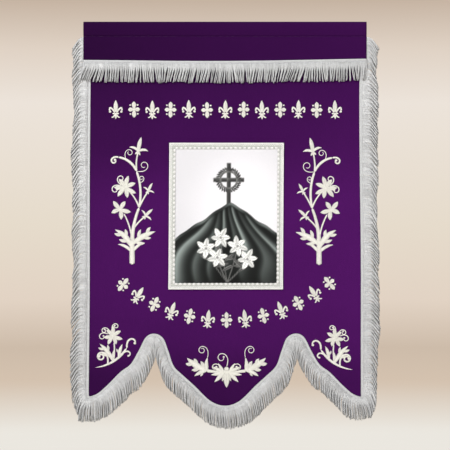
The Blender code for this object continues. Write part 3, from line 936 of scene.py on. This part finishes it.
def tall_spray(n):
    """A spray that stands on a stout foot: lobed leaves, three flowers, a scroll and a lily on top."""
    foot = n.arc((-241.5, -631.0), 90, 62, 0, [15, 14.5, 14, 12], 2.0)
    trunk = n.arc(foot[-1], 88, 88, -20, [12, 10, 8, 7], 1.7)
    n.lobed_leaf(foot[4], 108, 68, 48, 16)
    n.lobed_leaf(foot[5], 44, 70, -30, 16)
    for way, length, turn in ((124, 44, 52), (62, 40, -44)):
        n.arc(foot[3], way, length, turn, [6, 9, 8, 1.5])
    stem = n.arc(foot[-1], 95, 74, 24, [5, 4.5, 4])
    n.bloom(toward(stem[-1], 130, 14), 28, 5, 130, 12.5)
    stem = n.arc(trunk[2], 58, 46, -22, [5, 4.5, 4.5])
    n.lily(stem[-1], 44, 28)
    stem = n.arc(trunk[-1], 108, 46, 24, [5, 4.5, 4])
    flower = toward(stem[-1], 136, 18)
    for way, turn in ((147, -330), (160, 300)):
        n.tendril(toward(flower, way, 10), way, 52, turn, 3.2, 3.4)
    n.bloom(flower, 31, 7, 75, 12.5)
    stem = n.arc(trunk[-1], 66, 48, -10, [5, 4.5, 4.5])
    n.lily(stem[-1], 62, 25)
    scroll = n.arc(trunk[-1], 78, 96, 32, [7, 6.5, 6.5])
    hook = n.arc(scroll[-1], 112, 62, 60, [6.5, 7.5, 5.5])
    n.tendril(hook[-1], 172, 44, 330, 5, 3.6)
    n.tendril(hook[4], 110, 66, -440)
    n.tendril(scroll[4], 24, 44, 420)
    stalk = n.arc(scroll[-1], 96, 52, -22, [5, 4.4, 4.4])
    n.tendril(scroll[-1], -8, 78, 410)
    n.lily(stalk[-1], 78, 38)


def corner_spray(n):
    """A low spray on a curved runner: an open flower, two lobed leaves, a volute and hooked shoots."""
    runner = n.arc((-337.0, -899.0), 6, 100, 52, [1.5, 5, 7, 7, 5])
    n.tendril(runner[2], 84, 96, 540, 5.2, 4.2)
    n.lobed_leaf(runner[3], 116, 58, 24, 13)
    n.lobed_leaf(runner[4], 84, 36, -20, 10, 1)
    stem = n.arc(runner[3], 80, 50, 16, [4.8, 4.2, 3.8])
    flower = toward(stem[-1], 100, 16)
    for way, turn in ((98, -400), (124, 400), (158, 330)):
        n.tendril(toward(flower, way, 14), way, 48, turn, 2.8, 2.6)
    n.bloom(flower, 26, 7, 85, 11)
    n.tendril(runner[-1], 92, 46, -210, 5.4, 3.6)
    n.tendril(runner[5], 34, 30, -210, 4.6, 3.0)


def middle_spray(n):
    """Half of the spray on the tongue, out to its left: wing leaves, shoots and coils."""
    heart = (-3.0, -911.0)
    for way, length, width in ((232, 36, 13), (198, 34, 12), (160, 32, 11), (128, 27, 9)):
        n.arc(heart, way, length, -10, np.array([0.6, 1.0, 0.8, 0.1]) * width, 1.6)
    joint = n.arc(heart, 180, 44, -8, [5, 5, 8, 9])[-1]
    n.lobed_leaf(joint, 160, 62, -26, 18)
    n.lobed_leaf(joint, 186, 36, 34, 11, 1)
    shoot = n.arc(joint, 104, 34, -32, [8, 12, 9, 2.4], 1.6)
    n.tendril(shoot[-1], 78, 86, 500)
    n.tendril(toward(heart, 118, 16), 140, 46, 330, 2.8, 3.0)


def fleur(n):
    """An upright sprig, 48 mm tall, from the middle."""
    n.leaf((0, -6), (0, 25), 12.5, 0.0, full=0.45, foot=0.4)
    for side in (-1, 1):
        n.stem([(side * 2, -8), (side * 8, 1), (side * 14.5, 5), (side * 16.5, -2.5)], [3.5, 5, 5, 4.4])
        n.knot((side * 14.6, -5.0), 3.3)
        n.stem([(side * 1, -11), (side * 6, -18), (side * 11, -20)], [3.4, 4.2, 3.0])
    n.stem([(-8.5, -9.5), (0, -10.5), (8.5, -9.5)], [4.4, 4.8, 4.4], 1.6)
    n.leaf((0, -9), (0, -24.5), 7.5, 0.0, full=0.4, foot=0.6)


def quatrefoil(n):
    """A four-leaved rosette with small knots between its leaves."""
    for way, reach, wide in ((90, 21, 12.5), (270, 21, 12.5), (0, 15.5, 12), (180, 15.5, 12)):
        a = math.radians(way)
        n.leaf((2.4 * math.cos(a), 2.4 * math.sin(a)), (reach * math.cos(a), reach * math.sin(a)), wide,
               0.0, full=0.55, foot=0.45)
    n.knot((0, 0), 3.4, 2.4)
    for x in (-1, 1):
        for z in (-1, 1):
            n.knot((x * 9.5, z * 11.5), 2.5)


ORNAMENTS = 13
ROW_PITCH, ROW_DROP = 47.5, 229.0
ARC_PITCH = 6.45  # degrees
ARC_RADIUS, ARC_CENTRE_DROP = 429.0, 347.0


def embroider():
    """All the raised ivory work, in one piece for each spray and row."""
    done = []
    for name, draw, mirror, move in (
            ("left_tall_spray", tall_spray, 1, (0, 0)),
            ("right_tall_spray", tall_spray, -1, (3, -1.5)),
            ("left_corner_spray", corner_spray, 1, (0, 0)),
            ("right_corner_spray", corner_spray, -1, (-6, -5))):
        n = Needle(mirror, move)
        draw(n)
        done.append(n.batch.piece(name, IVORY))
    n = Needle()
    for mirror in (1, -1):
        n.mirror, n.move = mirror, (0 if mirror > 0 else 7.5, 0)
        middle_spray(n)
    n.mirror, n.move = 1, (0, 0)
    heart = (4.0, -911.0)
    for way, length, width in ((270, 41, 16), (244, 27, 9), (296, 27, 9)):
        n.leaf(heart, toward(heart, way, length), width, foot=0.6, height=1.8)
    n.knot(heart, 8.5, 1.9)
    n.knot(toward(heart, 90, 8), 6.2, 2.8)
    n.tendril(toward(heart, 88, 14), 74, 84, 400, 2.6, 2.8)
    done.append(n.batch.piece("middle_spray", IVORY))
    n = Needle()
    for k in range(ORNAMENTS):
        n.move = (1.0 + (k - ORNAMENTS // 2) * ROW_PITCH, -ROW_DROP + 0.8 * math.sin(k * 2.1))
        n.turn = 0.02 * math.sin(k * 1.7)
        (fleur if k % 2 == 0 else quatrefoil)(n)
    done.append(n.batch.piece("upper_ornament_row", IVORY))
    n = Needle()
    for k in range(ORNAMENTS):
        way = math.radians((k - ORNAMENTS // 2) * ARC_PITCH + 0.4)
        n.move = (1.0 + ARC_RADIUS * math.sin(way), -ARC_CENTRE_DROP - ARC_RADIUS * math.cos(way))
        n.turn = way
        (quatrefoil if k % 2 == 0 else fleur)(n)
    done.append(n.batch.piece("lower_ornament_arc", IVORY))
    for item in done:
        finish_piece(item, "white_braid")


# ------------------------------------------------------------------ putting it together
FRINGES = {  # paths, layer, gather, back layer fills the gaps, restless, lightness, the tape's two shades
    "top_fringe": (top_paths(), LAYER_TOP_FRINGE, 0.22, False, 1.9, 1.02, (0.80, 0.66)),
    "left_fringe": (side_paths(-1), LAYER_EDGE_FRINGE, 0.06, True, 0.9, 1.06, (0.72, 0.78)),
    "right_fringe": (side_paths(1), LAYER_EDGE_FRINGE, 0.06, True, 0.9, 1.08, (0.72, 0.78)),
    "bottom_fringe": (bottom_paths(), LAYER_EDGE_FRINGE, 0.08, True, 0.9, 1.03, (0.72, 0.78)),
}
for number, (node, (paths, layer, gather, filled, restless, lift, shades)) in enumerate(FRINGES.items()):
    heading_tape(node + "_heading", paths, layer, node, shades)
    strands(node + "_strands", paths, layer, node, gather, filled, restless, lift, number)

field, field_area = field_cloth()
finish_piece(field, "purple_cloth", "field_panel")
band, band_length = heading_cloth()
finish_piece(band, "purple_cloth", "heading_band")
picture = finish_piece(picture_cloth(), "picture_cloth", "picture_panel")

half_w, half_h = FRAME_WIDTH / 2, FRAME_HEIGHT / 2
side_low, side_high = -half_h + BRAID_WIDTH, half_h - BRAID_WIDTH
braids = [
    braid_strip("braid_top", (-half_w, half_h), (half_w, half_h), (0, -1)),
    braid_strip("braid_bottom", (half_w, -half_h), (-half_w, -half_h), (0, 1)),
    braid_strip("braid_left", (-half_w, side_low), (-half_w, side_high), (1, 0)),
    braid_strip("braid_right", (half_w, side_high), (half_w, side_low), (-1, 0)),
]
braid_cords()
embroider()

seams = Batch()
across = np.linspace(-BAND_HALF_WIDTH + 3, BAND_HALF_WIDTH - 3, 200)
seam_line = np.stack([across, -SEAM_DROP + 0.25 * np.sin(across / 60.0)], -1)
stitches(seams, seam_line, LAYER_SEAM_FRONT)
stitches(seams, seam_line, LAYER_SEAM_BACK)
stitches(seams, np.stack([across, -56.0 + 0.3 * np.sin(across / 80.0)], -1), LAYER_SEAM_BACK)
sewn_w, sewn_h = half_w - 5, half_h - 5
sewn = [(-sewn_w, -sewn_h), (sewn_w, -sewn_h), (sewn_w, sewn_h), (-sewn_w, sewn_h)]
for a, b in zip(sewn, sewn[1:] + sewn[:1]):
    t = np.linspace(0, 1, 40)
    line = frame_point(a[0] + (b[0] - a[0]) * t, a[1] + (b[1] - a[1]) * t)
    stitches(seams, line, LAYER_FIELD_BACK, 3.2, 1.6, 0.4)
for node in ("left_fringe", "right_fringe", "bottom_fringe"):
    near, edge, _ = FRINGES[node][0]
    for share in (0.3, 0.75):
        stitches(seams, near + (edge - near) * share, LAYER_FIELD_BACK, 3.2, 2.0, 0.4)
finish_piece(seams.piece("seam_stitches", SEWING), "purple_cloth")

# ------------------------------------------------------------------ studio
CENTRE_DROP = 0.5286
VIEW_SPAN = 1.170
LENS, SENSOR = 135.0, 36.0
FLOOR_DROP = 1250.0
FLOOR_HALF_WIDTH, FLOOR_FRONT, FLOOR_BACK = 2600.0, -3600.0, 620.0
BACKDROP = (  # a pale backdrop that warms and darkens low down and at the top: place, colour
    (0.00, (0.42, 0.42, 0.41)), (0.24, (0.80, 0.79, 0.76)), (0.35, (0.83, 0.80, 0.74)),
    (0.385, (0.66, 0.54, 0.43)), (0.41, (0.61, 0.50, 0.40)), (0.445, (0.76, 0.65, 0.55)),
    (0.50, (0.79, 0.71, 0.60)), (0.59, (0.84, 0.77, 0.70)), (0.63, (0.74, 0.64, 0.55)),
    (0.665, (0.56, 0.45, 0.36)), (0.78, (0.50, 0.46, 0.42)), (1.00, (0.42, 0.42, 0.42)),
)


def studio():
    scene = bpy.context.scene
    camera = bpy.data.cameras.new("camera")
    camera.lens, camera.sensor_width = LENS, SENSOR
    holder = bpy.data.objects.new("camera", camera)
    holder.location = (0.0, -VIEW_SPAN * LENS / SENSOR, -CENTRE_DROP)
    holder.rotation_euler = (math.pi / 2, 0.0, 0.0)
    scene.collection.objects.link(holder)
    scene.camera = holder

    corners = [(-FLOOR_HALF_WIDTH, FLOOR_FRONT), (FLOOR_HALF_WIDTH, FLOOR_FRONT),
               (FLOOR_HALF_WIDTH, FLOOR_BACK), (-FLOOR_HALF_WIDTH, FLOOR_BACK)]
    floor = new_piece("floor", [(x, y, -FLOOR_DROP) for x, y in corners], [(0, 1, 2, 3)], floor_material())

    def lamp(name, place, aim, size, power, colour=(1, 1, 1)):
        light = bpy.data.lights.new(name, "AREA")
        light.shape, light.size, light.energy, light.color = "DISK", size, power, colour
        item = bpy.data.objects.new(name, light)
        item.location = place
        item.rotation_euler = (Vector(aim) - Vector(place)).to_track_quat("-Z", "Y").to_euler()
        scene.collection.objects.link(item)

    lamp("key", (-1.6, -2.7, 1.5), (0.0, 0.0, -0.5), 0.6, 96.0, (1.0, 0.99, 0.98))
    lamp("fill", (2.6, -3.2, -0.2), (0.0, 0.0, -0.6), 2.0, 32.0)
    lamp("back", (0.8, 3.4, 1.4), (0.0, 0.0, -0.5), 2.4, 70.0)

    world = bpy.data.worlds.new("studio")
    scene.world = world
    world.use_nodes = True
    tree = world.node_tree
    where = add(tree, "ShaderNodeTexCoord").outputs["Generated"]
    up = add(tree, "ShaderNodeSeparateXYZ", {0: where}).outputs[2]
    place = add(tree, "ShaderNodeMapRange", {0: up, 1: -0.4, 2: 0.4}).outputs[0]
    node = ramp_node(tree, place, BACKDROP)
    tree.links.new(node.outputs[0], tree.nodes["Background"].inputs["Color"])
    tree.nodes["Background"].inputs["Strength"].default_value = 1.0
    scene.view_settings.view_transform = "Standard"


studio()
